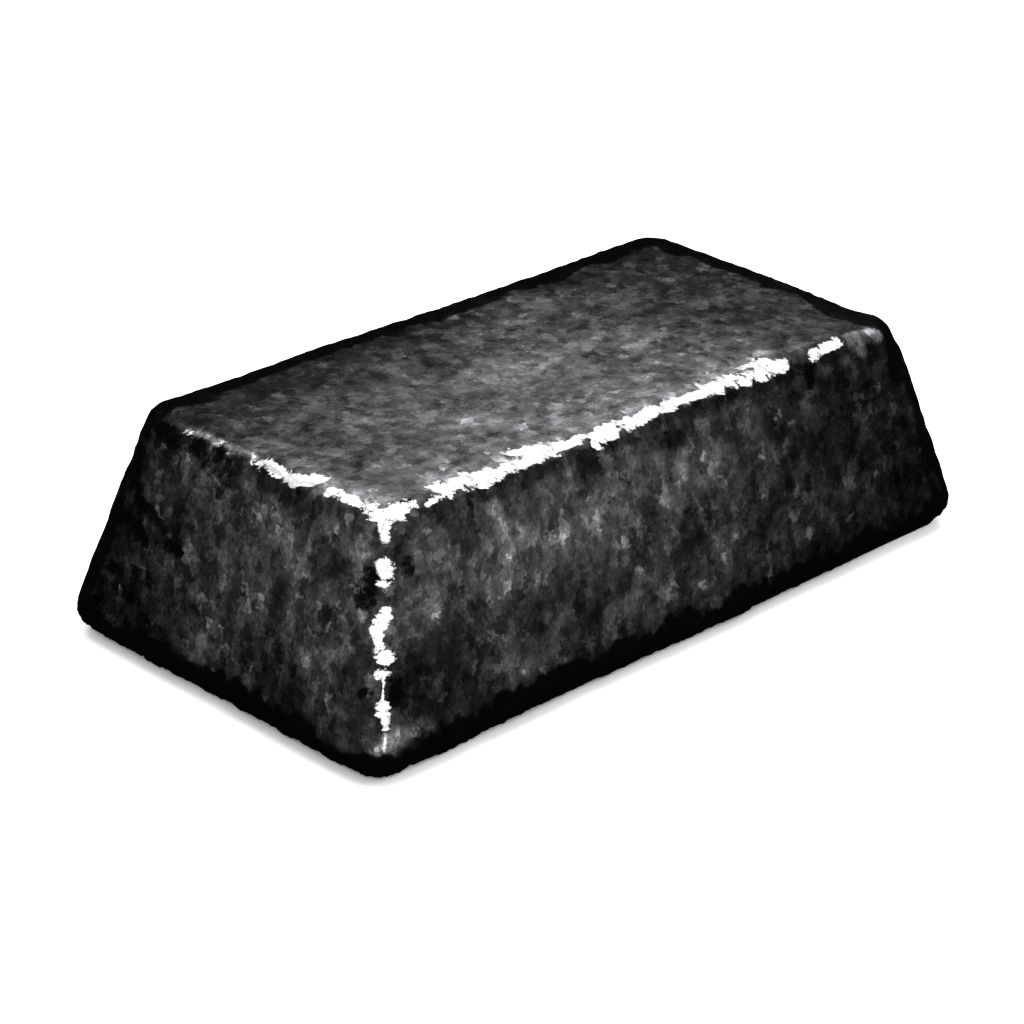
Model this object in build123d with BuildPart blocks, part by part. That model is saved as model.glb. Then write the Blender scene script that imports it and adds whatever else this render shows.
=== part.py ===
from build123d import *
import os
from math import cos, radians, tan

# Tin ingot of about 5 kg: one casting, poured into an open tapered mould and turned out.
# It lies on its as-cast face, so the mould's floor shows as the top face and the walls lean in.
# X runs along the ingot, Y across it and Z up. The origin is the middle of the footprint.

# Driving dimensions, in millimetres and degrees
length = 176.0  # along X, over the rounded foot
width = 96.0  # along Y, over the rounded foot
height = 50.0  # from the surface that it lies on to its top face
end_draft = 16.8  # lean of the two short walls from upright
side_draft = 14.4  # lean of the two long walls from upright
corner_radius = 7.5  # the four upright corners
crown_radius = 5.5  # edges round the top face
foot_radius = 5.5  # edges round the as-cast face, where the metal's skin curled over
land_width = 8.0  # flat band that the ingot rests on, between its foot and the sink
sink_depth = 1.6  # fall of the as-cast face, where the metal shrank as it froze


def mouth_size(overall, draft):
    """Sharp-edged size of the mould's mouth that leaves the overall size once the foot is rounded."""
    lost_each_side = foot_radius * (tan(radians(draft)) + 1 / cos(radians(draft)) - 1)
    return overall + 2 * lost_each_side


def arc_radius(chord, rise):
    """Radius of the arc that spans the chord and stands the rise above its middle."""
    return (chord**2 / 4 + rise**2) / (2 * rise)


mouth_length = mouth_size(length, end_draft)
mouth_width = mouth_size(width, side_draft)
sink_length = length - 2 * (foot_radius + land_width)
sink_width = width - 2 * (foot_radius + land_width)
sink_axis_height = sink_depth - arc_radius(sink_width, sink_depth)  # far below the ingot

with BuildPart() as ingot:
    # The two short walls come from the side view, and the two long walls from the end view
    with BuildSketch(Plane.XZ):
        Trapezoid(mouth_length, height, 90 - end_draft, align=(Align.CENTER, Align.MIN))
    extrude(amount=mouth_width / 2, both=True)
    with BuildSketch(Plane.YZ):
        Trapezoid(mouth_width, height, 90 - side_draft, align=(Align.CENTER, Align.MIN))
    extrude(amount=mouth_length / 2, both=True, mode=Mode.INTERSECT)

    # Rounded corners, then the crown round the top face and the foot round the as-cast face
    fillet(ingot.edges().group_by(Axis.Z)[1], radius=corner_radius)
    fillet(ingot.faces().sort_by(Axis.Z)[-1].edges(), radius=crown_radius)
    fillet(ingot.faces().sort_by(Axis.Z)[0].edges(), radius=foot_radius)

    # Shrinkage sink, a shallow oval dish: an arc along the ingot, turned about an axis far below it
    with BuildSketch(Plane.XZ):
        with BuildLine():
            ThreePointArc((-sink_length / 2, 0), (0, sink_depth), (sink_length / 2, 0))
            Line((sink_length / 2, 0), (sink_length / 2, sink_axis_height))
            Line((sink_length / 2, sink_axis_height), (-sink_length / 2, sink_axis_height))
            Line((-sink_length / 2, sink_axis_height), (-sink_length / 2, 0))
        make_face()
    revolve(axis=Axis((0, 0, sink_axis_height), (1, 0, 0)), mode=Mode.SUBTRACT)

ingot.part.label = "ingot"
os.makedirs("parts", exist_ok=True)
export_step(ingot.part, "parts/ingot.step")
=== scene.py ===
import math

import bpy
import numpy as np
from mathutils import Matrix, Vector


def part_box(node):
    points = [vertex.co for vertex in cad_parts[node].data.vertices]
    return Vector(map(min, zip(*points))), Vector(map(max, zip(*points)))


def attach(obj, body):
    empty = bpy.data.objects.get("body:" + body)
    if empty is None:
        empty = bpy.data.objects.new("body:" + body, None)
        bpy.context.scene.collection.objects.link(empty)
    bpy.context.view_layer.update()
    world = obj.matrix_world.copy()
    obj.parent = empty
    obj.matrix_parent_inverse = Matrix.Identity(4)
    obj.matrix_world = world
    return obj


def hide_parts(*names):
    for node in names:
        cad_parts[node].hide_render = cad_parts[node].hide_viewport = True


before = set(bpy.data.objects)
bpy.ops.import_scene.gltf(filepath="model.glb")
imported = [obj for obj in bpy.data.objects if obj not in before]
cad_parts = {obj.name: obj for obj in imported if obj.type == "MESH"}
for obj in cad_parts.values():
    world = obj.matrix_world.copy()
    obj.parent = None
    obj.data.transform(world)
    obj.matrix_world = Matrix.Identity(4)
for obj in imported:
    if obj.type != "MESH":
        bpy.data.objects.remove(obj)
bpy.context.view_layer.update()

MM = 0.001  # millimetres in metres

# Form of the casting, in millimetres and degrees, as in the solid that it stands for
END_DRAFT = 16.8  # lean of the two short walls from upright
SIDE_DRAFT = 14.4  # lean of the two long walls from upright
CORNER_RADIUS = 7.5  # the four upright corners
EDGE_RADIUS = 5.5  # the crown round the top face and the foot round the as-cast face
LAND_WIDTH = 8.0  # flat band that the ingot rests on
SINK_DEPTH = 1.6  # fall of the as-cast face

low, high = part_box("ingot")
LENGTH = (high.x - low.x) / MM
WIDTH = (high.y - low.y) / MM
HEIGHT = (high.z - low.z) / MM

# Cells of the grid
LONG_CELLS = 176  # along each long side, between its corners
SHORT_CELLS = 86  # along each short side, between its corners
CORNER_CELLS = 18  # round each upright corner
CROWN_CELLS = 16  # over the crown
WALL_CELLS = 50  # down the walls
FOOT_CELLS = 14  # round the foot

# Strokes of wear, in millimetres. Each is its start and end along an arris, its lift from the middle of
# the rounding at either end, and half its width. FRONT is the arris along X between the top face and the
# -Y wall, END the one along Y between the top face and the -X wall, and UPRIGHT the one along Z between
# those two walls. Lift is plus towards the top face, or towards the -Y wall at the upright arris. The
# ingot was dragged and stacked on its -X and -Y sides, so the bare strokes there are the widest.

# Worn to bare metal
FRONT_BARE = (
    (-84, -65.5, 0.0, 0.2, 2.4), (-64, -60, -0.8, -0.6, 0.8), (-62, -43, 1.1, 0.9, 2.9),
    (-50, -33, 0.3, 0.4, 2.0), (-38.6, -25, 6.2, 0.8, 1.9), (-38, -27, 0.8, 0.9, 2.5),
    (-31, -17, 0.8, 0.7, 1.6), (-20, -12, -0.9, -0.2, 2.5), (-16, 10, 0.7, 0.2, 1.9),
    (-10, -4, -0.8, -0.4, 1.8), (6, 17, 0.0, 0.2, 1.6), (13, 26, 0.9, 0.5, 2.7),
    (21, 40, 0.0, -0.6, 2.3), (26.5, 36, 4.8, 2.6, 2.3), (45.4, 57, -1.5, 0.1, 1.7),
)
END_BARE = (
    (-43, -28, 0.4, 0.9, 1.7), (-30, -19, 1.4, 0.1, 1.5), (-17.5, -10, 2.7, -0.4, 2.2),
    (-13, -6, -0.6, -0.6, 1.9), (-8, 3, 0.2, -0.2, 2.0),
)
UPRIGHT_BARE = (
    (56, 43.6, 0.8, 0.6, 1.8), (41.8, 36, 0.3, 1.1, 2.4), (33.6, 28.4, 2.2, 0.6, 1.7),
    (31, 24, -0.4, -0.6, 1.8), (25.4, 22.8, 1.4, 2.4, 2.4), (22.2, 20, 1.5, 1.5, 2.0),
    (20.4, 16, 1.5, 1.6, 0.5), (16.2, 13.4, 1.6, 1.6, 1.9), (14, 10.6, 2.2, 3.0, 1.3),
)

# Skin worn light grey
FRONT_THIN = ((57.5, 69.5, -0.4, -2.4, 2.2), (57.5, 63, -1.4, -4.6, 2.2))
END_THIN = ((-2, 24.5, 0.5, -0.4, 2.0),)
UPRIGHT_THIN = ((11, 7, 2.4, 2.4, 0.7),)

# Skin rubbed a little lighter
FRONT_RUBBED = ((-64, 40, 3.6, 4.2, 3.2),)
END_RUBBED = ((-34, 0, 3.0, 3.0, 2.4), (23, 33, 0.0, -0.4, 1.6))

# Painted shade on the skin beside the arrises: on the walls under the crown, and either side of the upright
FRONT_SHADE = (
    (-67, -57, -2.8, -3.2, 2.6), (-46, -36, -4.2, -5.8, 5.0), (-27, -17, -3.6, -4.4, 3.4),
    (-6, 8, -4.2, -5.2, 4.0), (9, 16, -2.6, -2.6, 2.2), (-78, 56, -3.2, -3.6, 1.4),
    (62, 72, -4.6, -5.2, 2.6),
)
END_SHADE = ((2, -9, -3.2, -3.6, 2.2), (-8, -19, -4.6, -4.2, 2.4), (-19, -36, -3.0, -2.4, 2.0))
UPRIGHT_SHADE = (
    (52, 43, 4.4, 4.6, 2.4), (46, 39, 5.2, 5.2, 2.2), (52, 46, -4.4, -4.0, 2.2), (21, 14, 8.0, 8.0, 4.6),
)

# Near-black painted shade beside the arrises
FRONT_DEEP_SHADE = ((42.8, 45.4, -5.8, -6.2, 1.6),)
END_DEEP_SHADE = ((31, 14, -3.0, -3.0, 2.0), (15.5, 5.5, -3.4, -6.0, 3.0))
UPRIGHT_DEEP_SHADE = (
    (39.8, 32, -3.0, -4.0, 2.6), (20.4, 15.6, 4.2, 4.8, 1.7), (18.8, 15.6, -2.6, -2.8, 2.2),
    (40.6, 36.8, 6.0, 6.4, 1.5),
)

# Folded laps near the far end of the -X wall, as strokes: start and end in Y, height at either end, and
# half the width, in millimetres
END_LAPS = (
    (32, 20.5, 32.6, 28.8, 1.4), (32, 25, 28, 24.4, 1.4), (21.5, 14.5, 26.4, 26.2, 1.2),
    (37, 31, 17.9, 16.2, 1.3), (29.5, 21.5, 18.8, 18.0, 1.4), (34.5, 26, 13.9, 13.1, 1.4),
)

# Clouds in the skin: middle in X, Y and Z and reach in X, Y and Z, in millimetres, and the lift in stops
TOP_CLOUDS = (
    (-27, -18, 50, 14, 9, 12, 1.0), (-8, -1, 50, 26, 7, 12, 0.9), (24, -17, 50, 10, 7, 12, -0.5),
    (22, 18, 50, 24, 8, 12, 0.6), (3, 28, 50, 16, 5, 12, 0.6), (-56, -20, 50, 10, 16, 12, -0.6),
    (45, -33, 50, 4, 3.5, 4, 0.9), (-19, 21, 50, 9, 5, 12, -0.7), (-63, 21, 50, 9, 4, 12, -0.8),
)
LONG_WALL_CLOUDS = (
    (-43, -40, 36, 15, 12, 7, 1.3), (16, -40, 38, 10, 12, 5, 0.4), (3, -45, 14, 10, 12, 5, 0.9),
    (-14, -46, 14, 12, 12, 3, 0.6), (-50, -46, 12, 9, 12, 4, 0.7), (40, -38, 43, 8, 10, 3, -2.1),
    (-70, -38, 46, 12, 12, 4, 0.5), (-60, -42, 28, 8, 12, 5, -0.6), (-68, -45, 19, 14, 12, 6, -0.5),
    (54, -40, 30, 10, 10, 8, -0.4), (-27, -41, 34, 9, 12, 1.6, 0.8), (56, -44, 20, 13, 12, 1.8, 1.0),
    (-62, -40, 39, 4, 12, 3, 0.8), (33, -42, 25, 8, 12, 4, -0.8), (40, -47, 11, 7, 12, 3, -1.4),
    (59, -43, 27, 4, 12, 3, 1.1), (69, -46, 16, 5, 12, 4, -2.2), (-71, -46, 12, 5, 12, 3, -1.4),
    (-51, -46, 17, 5, 12, 4, -0.6), (-11, -46, 15, 4, 12, 3, -0.8),
)
NEAR_CORNER_CLOUDS = (
    (-78, -47, 9.5, 4, 5, 1.8, 3.2), (-83, -47, 8, 3.5, 5, 2.2, 3.2), (-87, -42, 11, 4, 5, 4, 0.9),
)
SHORT_WALL_CLOUDS = (
    (-79, -35, 28, 12, 8, 8, 1.0), (-79, -3, 30, 12, 7, 8, 0.5), (-78, -36, 45, 12, 9, 5, 0.6),
    (-79, -35, 38, 12, 6, 3, 0.6), (-81, 17, 29, 12, 7, 8, -0.5), (-84, -19, 17, 12, 8, 6, -1.0),
    (-85, 9, 13, 12, 6, 4, 1.3), (-83, 19, 23, 12, 4, 2, 1.6), (-84, 35, 16, 12, 1.5, 5, 1.3),
    (-87, -1, 10.6, 6, 3, 1.8, 1.2), (-87, -11.5, 8.8, 6, 3, 1.8, 1.2), (-82, 7, 25, 12, 8, 4, -0.9),
    (-85, 2, 15, 12, 4, 3, -0.8), (-86, -22, 11, 12, 5, 3, -0.9), (-77, 36, 43, 12, 5, 6, -0.7),
)

# Where the casting stands out from its true form, or in where minus: middle in X, Y and Z and reach in
# X, Y and Z, and how far, in millimetres
FULLNESS = (
    (77, -40, 36, 12, 10, 14, 0.5),  # full far end of the -Y wall
    (70, -26, 50, 9, 13, 5, -1.6),  # hollow in the top face
    (72, -48, 2, 17, 6, 4, -1.2),  # foot curled up
    (-88, 42, 8, 6, 5, 6, 0.5),  # full far corner of the -X wall
)


def swell(points, wavelength, seed, waves=28):
    """Smooth random field of unit spread: plane waves of about one length, in seeded random directions."""
    rng = np.random.default_rng(seed)
    least_share, most_share = 0.7, 1.4  # of the waves in a wavelength
    ways = rng.normal(size=(waves, 3))
    ways /= np.linalg.norm(ways, axis=1, keepdims=True)
    turns = 2 * np.pi / wavelength * rng.uniform(least_share, most_share, (waves, 1))
    phases = rng.uniform(0, 2 * np.pi, waves)
    return np.cos(points @ (ways * turns).T + phases).sum(axis=1) / math.sqrt(waves / 2)


def fade(value, start, end):
    """0 at start and 1 at end, with a smooth step 3t^2 - 2t^3 between them."""
    t = np.clip((value - start) / (end - start), 0, 1)
    return t * t * (3 - 2 * t)


def plan_columns():
    """Columns of the grid, once round the plan, anticlockwise from the middle of the corner at +X -Y.

    Each side is half a corner, a straight run and half a corner. Returns the share of the core's half
    length and half width at which each column stands, and the bearing of its outward normal in radians.
    """
    half_corner = CORNER_CELLS // 2
    turning = np.arange(half_corner) / half_corner * 45
    shares_x, shares_y, bearings = [], [], []
    for quarter, cells in enumerate((SHORT_CELLS, LONG_CELLS, SHORT_CELLS, LONG_CELLS)):
        along = np.r_[np.full(half_corner, -1.0), np.arange(cells) / cells * 2 - 1, np.ones(half_corner)]
        bearing = np.r_[turning - 45, np.zeros(cells), turning]
        facing = math.radians(90 * quarter)
        shares_x.append(round(math.cos(facing)) - along * round(math.sin(facing)))
        shares_y.append(round(math.sin(facing)) + along * round(math.cos(facing)))
        bearings.append(np.radians(bearing) + facing)
    return np.concatenate(shares_x), np.concatenate(shares_y), np.concatenate(bearings)


def skin_rows():
    """Rows of the grid from the rim of the top face to the rim of the underside.

    Returns the height of the ball's centre in each row, and how far the normal has turned: 1 is straight
    up, 0 is square to the wall and -1 is straight down.
    """
    crown = np.linspace(1, 0, CROWN_CELLS + 1)
    wall = np.linspace(HEIGHT - EDGE_RADIUS, EDGE_RADIUS, WALL_CELLS + 1)[1:]
    foot = np.linspace(0, -1, FOOT_CELLS + 1)[1:]
    heights = np.r_[np.full(len(crown), HEIGHT - EDGE_RADIUS), wall, np.full(len(foot), EDGE_RADIUS)]
    turns = np.r_[crown, np.zeros(len(wall)), foot]
    return heights, turns


def rounded_skin():
    """Walls, crown and foot as one grid: a ball of the edge radius rolls with its centre on a smaller core.

    The core is a block with the walls' lean and small upright corners. Its half size at a height h is
    overall / 2 - corner radius - (h - edge radius) * tan(lean). The surface is that point, plus the
    corner's share along the bearing, plus the edge radius along the normal. The wall's normal rises by
    atan(tan(end lean) * |cos bearing| + tan(side lean) * |sin bearing|).
    """
    share_x, share_y, bearing = plan_columns()
    height, turn = (row[:, None] for row in skin_rows())
    end_slope = math.tan(math.radians(END_DRAFT))
    side_slope = math.tan(math.radians(SIDE_DRAFT))
    half_x = LENGTH / 2 - CORNER_RADIUS - (height - EDGE_RADIUS) * end_slope
    half_y = WIDTH / 2 - CORNER_RADIUS - (height - EDGE_RADIUS) * side_slope
    wall_rise = np.arctan(end_slope * np.abs(np.cos(bearing)) + side_slope * np.abs(np.sin(bearing)))
    rise = wall_rise + np.where(turn > 0, np.pi / 2 - wall_rise, np.pi / 2 + wall_rise) * turn
    level = np.cos(rise)
    normals = np.stack([level * np.cos(bearing), level * np.sin(bearing), np.sin(rise)], axis=-1)
    corner_share = CORNER_RADIUS - EDGE_RADIUS
    core = np.stack([
        share_x * half_x + corner_share * np.cos(bearing),
        share_y * half_y + corner_share * np.sin(bearing),
        np.broadcast_to(height, rise.shape),
    ], axis=-1)
    return core + EDGE_RADIUS * normals, normals


def rim_sides():
    """Where each side of the rim starts and ends, in columns."""
    counts = np.array([SHORT_CELLS, LONG_CELLS, SHORT_CELLS, LONG_CELLS]) + 2 * (CORNER_CELLS // 2)
    ends = np.cumsum(counts)
    return list(zip(ends - counts, ends))


def flat_cap(rim):
    """Flat face inside a rim, as a grid of rows along Y and columns along X: a Coons patch.

    Each point is the blend of the two side edges, plus the blend of the front and back edges, less the
    blend of the four corners, so the grid meets the rim's points one for one.
    """
    ring = np.concatenate([rim, rim[:1]])
    plus_x, plus_y, minus_x, minus_y = (ring[start:end + 1] for start, end in rim_sides())
    right, left, back, front = plus_x, minus_x[::-1], plus_y[::-1], minus_y
    s = np.linspace(0, 1, len(front))[None, :, None]
    t = np.linspace(0, 1, len(right))[:, None, None]
    across = (1 - s) * left[:, None] + s * right[:, None]
    along = (1 - t) * front[None] + t * back[None]
    corners = (1 - s) * ((1 - t) * front[0] + t * back[0]) + s * ((1 - t) * front[-1] + t * back[-1])
    return across + along - corners


def cap_indices(rim_indices, first_inner):
    """Vertex numbers of a cap's grid: the rim's own along its edge, new ones from first_inner inside."""
    ring = np.r_[rim_indices, rim_indices[:1]]
    plus_x, plus_y, minus_x, minus_y = (ring[start:end + 1] for start, end in rim_sides())
    grid = np.empty((len(plus_x), len(plus_y)), int)
    grid[:, -1], grid[:, 0], grid[-1], grid[0] = plus_x, minus_x[::-1], plus_y[::-1], minus_y
    inner = (grid.shape[0] - 2, grid.shape[1] - 2)
    grid[1:-1, 1:-1] = first_inner + np.arange(inner[0] * inner[1]).reshape(inner)
    return grid


def grid_quads(grid):
    """Corner numbers of the grid's cells, anticlockwise where rows go up and columns to the right."""
    return np.stack([grid[:-1, :-1], grid[:-1, 1:], grid[1:, 1:], grid[1:, :-1]], axis=-1).reshape(-1, 4)


def closed_casting():
    """Points, outward normals and quads of the whole closed casting, before its relief."""
    skin, normals = rounded_skin()
    rows, columns = skin.shape[:2]
    numbers = np.arange(rows * columns).reshape(rows, columns)
    wrapped = np.concatenate([numbers, numbers[:, :1]], axis=1)
    points = [skin.reshape(-1, 3)]
    directions = [normals.reshape(-1, 3)]
    quads = [grid_quads(wrapped[::-1])]
    count = rows * columns
    for row, up in ((0, 1.0), (rows - 1, -1.0)):
        cap = flat_cap(skin[row])[1:-1, 1:-1].reshape(-1, 3)
        grid = cap_indices(numbers[row], count)
        points.append(cap)
        directions.append(np.tile([0.0, 0.0, up], (len(cap), 1)))
        quads.append(grid_quads(grid if up > 0 else grid[::-1]))
        count += len(cap)
    return np.concatenate(points), np.concatenate(directions), np.concatenate(quads)


def wall_gaps(points):
    """How deep each point lies under the four wall planes, in millimetres: -X, +X, -Y and +Y.

    A gap is (mouth - way out) * cos(lean) - height * sin(lean). The mouth is the half size that the walls
    would have at the floor if the foot weren't rounded.
    """
    gaps = []
    for place, overall, draft in ((points[:, 0], LENGTH, END_DRAFT), (points[:, 1], WIDTH, SIDE_DRAFT)):
        lean = math.radians(draft)
        mouth = overall / 2 + EDGE_RADIUS * (math.tan(lean) + 1 / math.cos(lean) - 1)
        for side in (-1, 1):
            gaps.append((mouth - side * place) * math.cos(lean) - points[:, 2] * math.sin(lean))
    return gaps


def strokes(along, lift, places):
    """How far each point is inside the nearest stroke: 1 in its middle, 0 at its outline, down to -1.6.

    A stroke is a blunt lens: 1 - ((lift - middle line) / half width)^2
    - ((along - middle) / half length)^6.
    """
    far_outside = -1.6
    inside = np.full(len(along), far_outside)
    for start, end, lift_at_start, lift_at_end, half_width in places:
        share = (along - start) / (end - start)
        off_line = lift - lift_at_start - (lift_at_end - lift_at_start) * share
        inside = np.maximum(inside, 1 - (off_line / half_width) ** 2 - (2 * share - 1) ** 6)
    return inside


def lift_over(first_gap, second_gap):
    """Distance over the arris of two planes, from the middle of its rounding.

    It is plus where the first gap is the larger. A point that lies deeper than the rounding under both
    planes isn't near this arris, and gets a far value.
    """
    rounding, far = 2.6, 99.0
    return np.where(np.minimum(first_gap, second_gap) < rounding, first_gap - second_gap, far)


def seen_arrises(points):
    """Each point's place along, and lift over, the FRONT, END and UPRIGHT arrises."""
    near_end, _, near_side, _ = wall_gaps(points)
    x, y, z = points.T
    front = (x, lift_over(near_side, HEIGHT - z))
    end = (y, lift_over(near_end, HEIGHT - z))
    upright = (z, lift_over(near_end, near_side))
    return front, end, upright


def stray_strokes(seed, start, end, lift):
    """Bare strokes at random along an arris that the picture hides, like those on the ones it shows.

    They reach 1 to 8 mm either way from their middles, and 0.5 to 2 mm either side of their lines. The
    powers keep most of them small.
    """
    rng = np.random.default_rng(seed)
    spacing, scatter, lift_scatter = 6.5, 3.6, 1.0
    middles = np.arange(start, end, spacing)
    middles = middles + rng.uniform(-scatter, scatter, len(middles))
    reaches = 1.0 + 7.0 * rng.uniform(0, 1, len(middles)) ** 1.6
    lifts = lift + rng.uniform(-lift_scatter, lift_scatter, (len(middles), 2))
    half_widths = 0.5 + 1.5 * rng.uniform(0, 1, len(middles)) ** 1.4
    return [(middle - reach, middle + reach, *ends, half_width)
            for middle, reach, ends, half_width in zip(middles, reaches, lifts, half_widths)]


def bare_strokes(points):
    """How far each point is inside a stroke of bare metal: the skin is worn through above 0.

    The arrises that the picture shows have theirs from the tables, and the hidden ones at random. Those of
    a far crown lie below its middle, and those of a far upright on the wall that the picture hides.
    """
    near_end, far_end, near_side, far_side = wall_gaps(points)
    x, y, z = points.T
    under_top = HEIGHT - z
    front, end, upright = seen_arrises(points)
    crown_lift, upright_lift = -1.9, 2.6
    fleck_share, fleck_loss = 0.5, 0.75  # the thin skin of END_THIN has only flecks of bare metal
    return np.max([
        strokes(*front, FRONT_BARE),
        strokes(*end, END_BARE),
        strokes(*upright, UPRIGHT_BARE),
        fleck_share * strokes(*end, END_THIN) - fleck_loss,
        strokes(x, lift_over(far_side, under_top), stray_strokes(11, -66, 72, crown_lift)),
        strokes(y, lift_over(far_end, under_top), stray_strokes(12, -18, 34, crown_lift)),
        strokes(z, lift_over(near_end, far_side), stray_strokes(13, 10, 36, upright_lift)),
        strokes(z, lift_over(near_side, far_end), stray_strokes(14, 10, 35, upright_lift)),
        strokes(z, lift_over(far_end, far_side), stray_strokes(15, 10, 48, 0.0)),
    ], axis=0)


def edge_wander(points):
    """How far the edges of the soot and painted shade wander from a straight line, in millimetres."""
    return 0.9 * swell(points, 16, 16) + 0.4 * swell(points, 7, 17)


def over_foot(points):
    """Height over the foot in millimetres, as uneven as the edge of the painted shade there.

    On the underside it is the distance in from the nearest wall. The near corner counts as higher, because
    wear lightened it, so the painted shade of the foot stays lower there: by wiped * exp(-(distance to the
    corner / reach)^2).
    """
    x, y, z = points.T
    height = np.maximum(z, np.min(wall_gaps(points), axis=0))
    height += 0.8 * edge_wander(points) + 0.5 * swell(points, 3.5, 18)
    wiped, corner_x, corner_y, reach = 1.6, -84, -46, 9
    return height + wiped * np.exp(-((x - corner_x) ** 2 + (y - corner_y) ** 2) / reach ** 2)


def in_laps(points):
    """How far each point is inside a folded lap, as for strokes, and -1 on all faces but the -X wall."""
    skin_depth, outside = 1.5, -1.0
    on_end = wall_gaps(points)[0] < skin_depth
    return np.where(on_end, strokes(points[:, 1], points[:, 2], END_LAPS), outside)


def far_arris_shade(seen_gap, hidden_gap, reach, turn):
    """Near-black painted shade along a far arris: 1 over its reach of the face in view, and 0 past the
    arris's turn.

    seen_gap and hidden_gap are how deep a point lies under the face in view and the one behind it.
    """
    softness, past_turn = 3.5, 2.2
    return fade(hidden_gap, reach, reach - softness) * fade(seen_gap, turn + past_turn, turn)


def soot_and_shade_cover(points):
    """How thick the soot and near-black painted shade lie: 1 on the foot and along the far arrises, less in
    laps and beside strokes.
    """
    near_end, far_end, near_side, far_side = wall_gaps(points)
    under_top = HEIGHT - points[:, 2]
    front, end, upright = seen_arrises(points)
    beside = np.max([
        strokes(*front, FRONT_DEEP_SHADE), strokes(*end, END_DEEP_SHADE), strokes(*upright, UPRIGHT_DEEP_SHADE),
    ], axis=0)

    wander = edge_wander(points)
    crown_turn, upright_turn = 1.2, 3.2
    in_lap, beside_stroke = 0.75, 0.63
    # Near-black painted shade along the far crown and far uprights, round the foot, in the laps and beside
    # the strokes
    return np.max([
        far_arris_shade(under_top, far_side, 8.5 + wander, crown_turn),
        far_arris_shade(under_top, far_end, 8.6 + wander, crown_turn),
        far_arris_shade(near_side, far_end, 8.8 + wander, upright_turn),
        far_arris_shade(near_end, far_side, 9.4 + wander, upright_turn),
        fade(over_foot(points), 9.2, 5.8),
        in_lap * fade(in_laps(points), -0.8, 0.6),
        beside_stroke * fade(beside, -1.5, 0.8),
    ], axis=0)


def on_top(points):
    """1 on the top face and 0 below its rim."""
    return fade(HEIGHT - points[:, 2], 2.6, 0.6)


def soft_bumps(points, places):
    """Sum of bumps of strength * exp(-(distance from the middle / reach)^2), a reach along each axis."""
    total = np.zeros(len(points))
    for place in places:
        middle, reach, strength = np.array(place[:3]), np.array(place[3:6]), place[6]
        total += strength * np.exp(-(((points - middle) / reach) ** 2).sum(axis=1))
    return total


def face_light_and_tarnish(points):
    """Tone of each face in stops, painted light and shade with uneven tarnish. The far walls repeat the
    near ones.

    Stops are as in photography: each one up doubles the skin's grey. The top face grows lighter from its +Y
    side to its -Y side, and is darker past x = 27 to 52. The long walls are light from z = 32 up and
    towards -X, and dark towards +X. The short walls are light high up, and dark towards +Y.
    """
    near_end, far_end, near_side, far_side = wall_gaps(points)
    x, y, z = points.T
    # Painted light and shade: the top face lighter than the walls, and each face lighter towards the near
    # corner
    top = fade(y, 34, 17) + fade(y, 22, -5) + 0.6 * fade(y, 0, -32) - 0.83
    top -= (1.1 - 0.012 * y) * fade(x, 27, 52)
    long_wall = 1.2 * fade(z, 20, 32) * fade(x, 48, -8) - 1.3 * fade(x, 12, 60) - 0.5
    short_wall = 0.9 * fade(z, 8, 38) - 1.9 * fade(y, 2, 36) - 0.7
    on_end = np.minimum(near_end, far_end) < np.minimum(near_side, far_side)
    wall = np.where(on_end, short_wall, long_wall)
    return wall + (top - wall) * on_top(points)


def wear_and_shade_tone(points):
    """Stops by which wear along the seen arrises makes the skin lighter, and painted shade beside them
    darker.
    """
    front, end, upright = seen_arrises(points)
    end_loss = 0.8  # END_THIN is the least worn of the thin places
    thin = np.max([
        strokes(*front, FRONT_THIN), strokes(*end, END_THIN) - end_loss, strokes(*upright, UPRIGHT_THIN),
    ], axis=0)
    rubbed = np.maximum(strokes(*front, FRONT_RUBBED), strokes(*end, END_RUBBED))
    # Painted shade beside the arrises
    painted_shade = np.max([
        strokes(*front, FRONT_SHADE), strokes(*end, END_SHADE), strokes(*upright, UPRIGHT_SHADE),
    ], axis=0)
    return 3.1 * fade(thin, -0.6, 0.5) + 0.7 * fade(rubbed, -0.6, 1.0) - 1.3 * fade(painted_shade, -0.8, 0.7)


def skin_tone(points):
    """Tone of the skin in stops: its face's, with clouds and wear, and painted shade near the foot and the
    far arrises.

    The painted shade darkens the skin towards the foot in two steps, and a little along the top's far
    sides, next to the near-black painted shade there.
    """
    _, far_end, _, far_side = wall_gaps(points)
    tone = face_light_and_tarnish(points) + wear_and_shade_tone(points)
    tone += soft_bumps(points, TOP_CLOUDS + LONG_WALL_CLOUDS + NEAR_CORNER_CLOUDS + SHORT_WALL_CLOUDS)
    foot = over_foot(points)
    # Painted shade: darker towards the foot, and a little along the top's far sides
    tone -= 0.6 * fade(foot, 14, 8) + 2.5 * fade(foot, 9, 6)
    tone -= 0.2 * fade(np.minimum(far_side, far_end), 17, 9) * on_top(points)
    return tone


def wear_masks(points):
    """What handling and the mould left on the skin, with painted light and shade, by place, for the
    material to read.

    bare is how far a point is inside a stroke of bare metal. The other two are how thick soot and
    near-black painted shade lie, and the skin's tone in stops, painted light and shade included. mottle is
    the share of the skin's pattern that shows: less on the top face, which lay on the mould's floor, and
    more on the -X wall.
    """
    near_end = wall_gaps(points)[0]
    return {
        "bare": bare_strokes(points),
        "soot_and_shade": soot_and_shade_cover(points),
        "tarnish_and_light": skin_tone(points),
        "mottle": 1.2 - 0.31 * on_top(points) + 0.2 * fade(near_end, 4, 1),
    }


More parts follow.
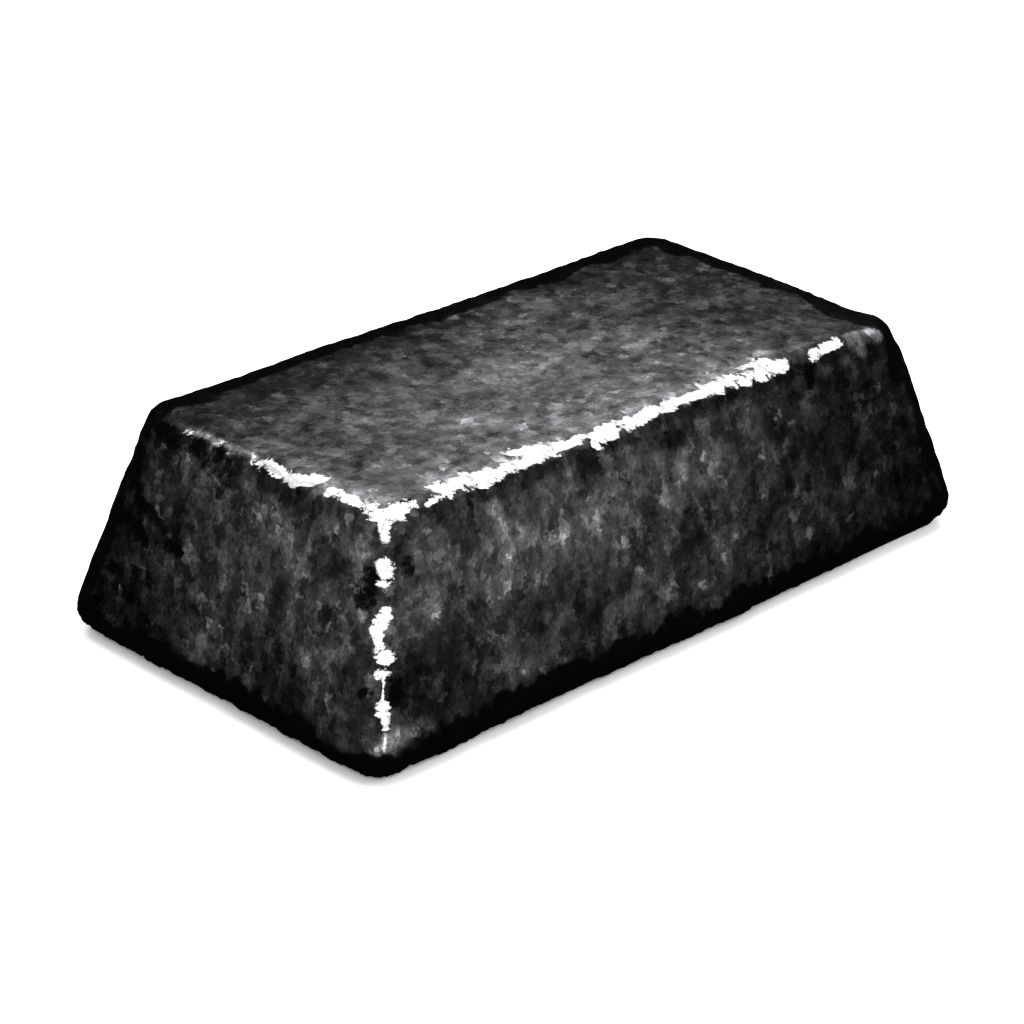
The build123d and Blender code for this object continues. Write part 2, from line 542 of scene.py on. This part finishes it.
def cast_relief(points, bare):
    """Depth that the metal lies under the true form, in millimetres.

    It is the sum of slow swells, short ripples, a rough foot, cold laps round the walls, the folded laps of
    END_LAPS and knocks where the metal is bare, less the walls' fullness and FULLNESS. A swell's factor is
    its height in millimetres. A cold lap is a groove: depth * exp(-(distance to its line / width)^2).
    """
    height = points[:, 2]
    slow = 0.16 * swell(points, 62, 1) + 0.07 * swell(points, 27, 2)
    ripple = 0.06 * swell(points, 11, 3)
    ripple += 0.09 * np.abs(swell(points, 6, 4)) + 0.05 * np.abs(swell(points, 4, 12))
    rough_foot = (0.35 * np.abs(swell(points, 3.2, 18)) - 0.3) * fade(height, 8, 4)
    knocks = 0.15 + 0.4 * np.clip(swell(points, 9, 5), 0, None)
    knocks += 0.2 * np.clip(swell(points, 5, 6), 0, None)

    lap_spacing, lap_width, lap_depth, fold_depth = 6.5, 1.1, 0.16, 0.5
    turns = (height + 1.7 * swell(points, 42, 7) + 0.5 * swell(points, 15, 8)) / lap_spacing
    off_lap = np.abs(turns - np.round(turns)) * lap_spacing
    laps = lap_depth * np.exp(-(off_lap / lap_width) ** 2) * fade(swell(points, 26, 9), 0.0, 1.0)
    laps *= fade(HEIGHT - height, 3.0, 8.0)
    folds = fold_depth * fade(in_laps(points), -0.5, 0.8)

    wall_fullness = 0.35
    fullness = wall_fullness * fade(height, 8, 16) * fade(HEIGHT - height, 0.0, 1.0)
    fullness += soft_bumps(points, FULLNESS)
    least = 0.15
    relief = least + slow + ripple + rough_foot + laps + folds + fade(bare, -0.6, 0.5) * knocks
    return relief - fullness


def sink_rise(points):
    """Rise of the as-cast face over its shrinkage sink, in millimetres.

    The sink is an oval dish, depth * (1 - (x / half length)^2 - (y / half width)^2), with fine rings in it
    like those that the last metal leaves as it freezes.
    """
    half_length = LENGTH / 2 - EDGE_RADIUS - LAND_WIDTH
    half_width = WIDTH / 2 - EDGE_RADIUS - LAND_WIDTH
    out = np.sqrt((points[:, 0] / half_length) ** 2 + (points[:, 1] / half_width) ** 2)
    ring_spacing, ring_depth = 4.5, 0.12
    rings = ring_depth * np.cos(2 * np.pi * (out * half_width + swell(points, 30, 10)) / ring_spacing)
    return SINK_DEPTH * np.clip(1 - out ** 2, 0, 1) + (rings + ring_depth) * fade(out, 1.0, 0.8)


def ingot_casting():
    """The casting as one closed mesh, with the attributes that its material reads.

    The relief fades out under the foot, so that the ingot rests on its land, and no point leaves the box.
    """
    points, normals, quads = closed_casting()
    masks = wear_masks(points)
    facing_down = -normals[:, 2]
    relief_ends, underside = 0.85, 0.99
    depth = cast_relief(points, masks["bare"]) * (1 - fade(facing_down, relief_ends, underside))
    placed = points - normals * depth[:, None]
    placed[:, 2] += np.where(facing_down > underside, sink_rise(points), 0)
    limit = np.array([LENGTH / 2, WIDTH / 2, HEIGHT])
    placed = np.clip(placed, [-limit[0], -limit[1], 0], limit)

    mesh = bpy.data.meshes.new("ingot_casting")
    mesh.from_pydata((placed * MM).tolist(), [], quads.tolist())
    mesh.shade_smooth()
    for name, values in masks.items():
        mesh.attributes.new(name, "FLOAT", "POINT").data.foreach_set("value", values.astype(np.float32))
    piece = bpy.data.objects.new("ingot_casting", mesh)
    bpy.context.scene.collection.objects.link(piece)
    return piece


def linear(hex_colour):
    """An sRGB hex colour as the linear colour that a shader takes."""
    shares = [int(hex_colour[i:i + 2], 16) / 255 for i in (1, 3, 5)]
    return (*[s / 12.92 if s <= 0.04045 else ((s + 0.055) / 1.055) ** 2.4 for s in shares], 1.0)


def add(tree, kind, inputs=None, **settings):
    """Adds one node: settings are its properties, and each input takes a value or another node's output."""
    node = tree.nodes.new(kind)
    for name, value in settings.items():
        setattr(node, name, value)
    for name, value in (inputs or {}).items():
        if isinstance(value, bpy.types.Node):
            value = next(socket for socket in value.outputs if socket.enabled)
        if isinstance(value, bpy.types.NodeSocket):
            tree.links.new(value, node.inputs[name])
        else:
            node.inputs[name].default_value = value
    return node


def per_mm(size):
    """Noise scale, in waves a metre, that gives features of a size in millimetres."""
    return 1 / (size * MM)


def tarnished_cast_tin():
    """Tin cast in an open iron mould, its oxide skin blackened by soot and worn through on the arrises.

    The skin gives the eye a dull, flaky near-black, a little lighter where it is thin, with painted light
    and shade in its tone. Near-black painted shade, dull as soot, lies at the foot and along the far
    arrises. The bare metal is the only bright thing on the ingot.
    """
    material = bpy.data.materials.new("tarnished_cast_tin")
    material.use_nodes = True
    tree = material.node_tree
    tree.nodes.clear()
    # The near-black serves both the soot and the painted shade at the foot and far arrises
    skin_grey, soot_and_shade_black, bare_tin = linear("#222223"), linear("#030303"), linear("#c8c7c5")
    place = add(tree, "ShaderNodeTexCoord").outputs["Object"]

    # Blotches, dabs, flakes and chips are frayed by about half a millimetre, so that no edge is straight
    fray = add(tree, "ShaderNodeTexNoise", {
        "Vector": place, "Scale": per_mm(1.5), "Detail": 3.0, "Roughness": 0.6,
    })
    fray_span = 4 * MM
    frayed = add(tree, "ShaderNodeVectorMath", {
        0: fray.outputs["Color"], 1: (fray_span,) * 3, 2: place,
    }, operation="MULTIPLY_ADD")

    # Rubbing drew the edges of bare metal out along its own bearing, and the edges of the soot and painted
    # shade are drawn out the same way. Blotches and flakes are drawn out down the walls
    drag_bearing = math.radians(-44)
    dragged = add(tree, "ShaderNodeMapping", {
        "Vector": place, "Rotation": (0, 0, drag_bearing), "Scale": (3, 1, 1),
    }, vector_type="TEXTURE")
    run_down = add(tree, "ShaderNodeMapping", {
        "Vector": frayed, "Scale": (1.1, 1, 1.9),
    }, vector_type="TEXTURE")

    cloud = add(tree, "ShaderNodeTexNoise", {
        "Vector": place, "Scale": per_mm(11), "Detail": 2.0, "Roughness": 0.5,
    })
    blotch = add(tree, "ShaderNodeTexNoise", {
        "Vector": run_down, "Scale": per_mm(5), "Detail": 5.0, "Roughness": 0.6,
    })
    dab = add(tree, "ShaderNodeTexNoise", {
        "Vector": frayed, "Scale": per_mm(3), "Detail": 4.0, "Roughness": 0.6,
    })
    grain = add(tree, "ShaderNodeTexNoise", {
        "Vector": place, "Scale": per_mm(0.9), "Detail": 2.0, "Roughness": 0.6,
    })
    flake = add(tree, "ShaderNodeTexVoronoi", {"Vector": run_down, "Scale": per_mm(2.4)}).outputs["Color"]
    chip = add(tree, "ShaderNodeTexVoronoi", {"Vector": frayed, "Scale": per_mm(1.9)}).outputs["Color"]

    # All the patterns together, each with its weight in stops, and with a mean of about 0. The real grain
    # of such a skin is finer than this one, which is drawn as coarse as it needs to show
    weights = ((cloud, 3.5), (blotch, 4.5), (dab, 3.5), (grain, 1.6), (flake, 1.8), (chip, 1.5))
    pattern = -sum(weight for field, weight in weights) / 2
    for field, weight in weights:
        pattern = add(tree, "ShaderNodeMath", {0: field, 1: weight, 2: pattern}, operation="MULTIPLY_ADD")
    bump = add(tree, "ShaderNodeBump", {"Strength": 0.8, "Distance": 0.12 * MM, "Height": pattern})

    # The skin's grey is doubled for each stop of the place's tone, painted light and shade included, and of
    # the pattern.
    # A few chips get painted glints, 0.8 stops lighter in colour
    painted_glints = add(tree, "ShaderNodeMapRange", {
        "Value": chip, "From Min": 0.87, "From Max": 0.9, "To Max": 0.8,
    }, interpolation_type="SMOOTHSTEP")
    pattern = add(tree, "ShaderNodeMath", {0: pattern, 1: painted_glints}, operation="ADD")
    # The skin's tone in stops, painted light and shade included
    tarnish_and_light = add(tree, "ShaderNodeAttribute", attribute_name="tarnish_and_light").outputs["Fac"]
    mottle = add(tree, "ShaderNodeAttribute", attribute_name="mottle").outputs["Fac"]
    stops = add(tree, "ShaderNodeMath", {0: pattern, 1: mottle, 2: tarnish_and_light}, operation="MULTIPLY_ADD")
    brightness = add(tree, "ShaderNodeMath", {0: 2.0, 1: stops}, operation="POWER")
    skin = add(tree, "ShaderNodeVectorMath", {
        0: skin_grey[:3], "Scale": brightness,
    }, operation="SCALE")

    # Soot with near-black painted shade, and bare metal: each mask is made ragged, and then cut off within
    # a narrow range. The soot and shade let a little of the skin through. Inputs 6 and 7 of a Mix node are
    # its two colours
    ragged = add(tree, "ShaderNodeTexNoise", {
        "Vector": dragged, "Scale": per_mm(1.9), "Detail": 5.0, "Roughness": 0.75,
    })
    # The soot mask also holds the near-black painted shade at the foot, along the far arrises, in the laps
    # and beside the strokes
    soot_and_shade_mask = add(tree, "ShaderNodeAttribute", attribute_name="soot_and_shade").outputs["Fac"]
    soot_and_shade_gaps = add(tree, "ShaderNodeMath", {0: blotch, 1: -1.4, 2: soot_and_shade_mask}, operation="MULTIPLY_ADD")
    soot_and_shade_edge = add(tree, "ShaderNodeMath", {0: ragged, 1: -1.6, 2: soot_and_shade_gaps}, operation="MULTIPLY_ADD")
    soot_and_shade = add(tree, "ShaderNodeMapRange", {
        "Value": soot_and_shade_edge, "From Min": -1.3, "From Max": -0.85, "To Max": 0.93,
    }, interpolation_type="SMOOTHSTEP")
    sooted_and_shaded = add(tree, "ShaderNodeMix", {"Factor": soot_and_shade, 6: skin, 7: soot_and_shade_black}, data_type="RGBA")

    bare_mask = add(tree, "ShaderNodeAttribute", attribute_name="bare").outputs["Fac"]
    bare_gaps = add(tree, "ShaderNodeMath", {0: chip, 1: 1.0, 2: bare_mask}, operation="MULTIPLY_ADD")
    bare_edge = add(tree, "ShaderNodeMath", {0: ragged, 1: 5.0, 2: bare_gaps}, operation="MULTIPLY_ADD")
    bare = add(tree, "ShaderNodeMapRange", {
        "Value": bare_edge, "From Min": 3.1, "From Max": 3.5,
    }, interpolation_type="SMOOTHSTEP")
    tone = add(tree, "ShaderNodeMix", {"Factor": bare, 6: sooted_and_shaded, 7: bare_tin}, data_type="RGBA")

    # Where the skin's tone is light, painted light included, and free of soot and painted shade, the metal
    # under it shines through a little. Soot and oxide are dull and have no sheen of their own, so the
    # specular level is 0 and only metal reflects
    light_skin = add(tree, "ShaderNodeMapRange", {
        "Value": stops, "From Min": -0.5, "From Max": 2.0, "To Max": 0.6,
    })
    clear_of_soot_and_shade = add(tree, "ShaderNodeMath", {0: 1.0, 1: soot_and_shade}, operation="SUBTRACT")
    metal_through = add(tree, "ShaderNodeMath", {0: light_skin, 1: clear_of_soot_and_shade}, operation="MULTIPLY")
    metallic = add(tree, "ShaderNodeMath", {0: metal_through, 1: bare}, operation="MAXIMUM")
    roughness = add(tree, "ShaderNodeMapRange", {"Value": bare, "To Min": 0.55, "To Max": 0.4})
    shader = add(tree, "ShaderNodeBsdfPrincipled", {
        "Base Color": tone,
        "Metallic": metallic,
        "Roughness": roughness,
        "Specular IOR Level": 0.0,
        "Normal": bump,
    })
    add(tree, "ShaderNodeOutputMaterial", {"Surface": shader})
    return material


def studio_floor():
    """Plain white floor."""
    reach = 6.0  # metres from its middle to each edge
    mesh = bpy.data.meshes.new("studio_floor")
    corners = [(-reach, -reach, 0), (reach, -reach, 0), (reach, reach, 0), (-reach, reach, 0)]
    mesh.from_pydata(corners, [], [(0, 1, 2, 3)])
    floor = bpy.data.objects.new("studio_floor", mesh)
    bpy.context.scene.collection.objects.link(floor)
    material = bpy.data.materials.new("matt_white_paper")
    material.use_nodes = True
    shader = material.node_tree.nodes["Principled BSDF"]
    shader.inputs["Base Color"].default_value = linear("#f2f2f2")
    shader.inputs["Roughness"].default_value = 0.9
    shader.inputs["Specular IOR Level"].default_value = 0.1
    mesh.materials.append(material)


def softbox(name, place, size, power):
    """Square softbox that faces the ingot's middle: its place and size in metres, its power in watts."""
    light = bpy.data.lights.new(name, "AREA")
    light.shape = "SQUARE"
    light.size = size
    light.energy = power
    lamp = bpy.data.objects.new(name, light)
    lamp.location = place
    facing = Vector((0, 0, HEIGHT * MM / 2)) - Vector(place)
    lamp.rotation_euler = facing.to_track_quat("-Z", "Y").to_euler()
    bpy.context.scene.collection.objects.link(lamp)


def studio_light():
    """White room, a large softbox over the ingot, and a smaller one on each side of the camera."""
    world = bpy.data.worlds.new("white_room")
    world.use_nodes = True
    world.node_tree.nodes["Background"].inputs["Color"].default_value = linear("#ffffff")
    world.node_tree.nodes["Background"].inputs["Strength"].default_value = 1.0
    bpy.context.scene.world = world
    softbox("overhead_softbox", (0.2, 0.3, 1.1), 1.2, 21)
    softbox("right_softbox", (0.85, -0.9, 0.75), 0.7, 8)
    softbox("left_softbox", (-0.75, -0.75, 0.65), 0.5, 6.5)


def photo_camera():
    """The camera that the outline of the picture was fitted with."""
    azimuth, elevation, roll = math.radians(-44.33), math.radians(24.842), math.radians(0.395)
    distance, to_right, upwards = 0.6476, -0.00402, -0.00967  # in metres, from the ingot's middle
    away = Vector((math.sin(azimuth), -math.cos(azimuth), 0))
    back = away * math.cos(elevation) + Vector((0, 0, math.sin(elevation)))
    right = Vector((math.cos(azimuth), math.sin(azimuth), 0))
    up = back.cross(right)
    right, up = math.cos(roll) * right + math.sin(roll) * up, math.cos(roll) * up - math.sin(roll) * right
    data = bpy.data.cameras.new("photo_camera")
    data.sensor_width = 36  # in millimetres, as the lens is
    data.lens = 107.55
    camera = bpy.data.objects.new("photo_camera", data)
    camera.matrix_world = Matrix((right, up, back)).transposed().to_4x4()
    middle = Vector((0, 0, HEIGHT * MM / 2))
    camera.location = middle + to_right * right + upwards * up + distance * back
    bpy.context.scene.collection.objects.link(camera)
    bpy.context.scene.camera = camera


photo_camera()
casting = ingot_casting()
casting.data.materials.append(tarnished_cast_tin())
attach(casting, "root")
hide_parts("ingot")
studio_floor()
studio_light()
bpy.context.scene.view_settings.view_transform = "Standard"
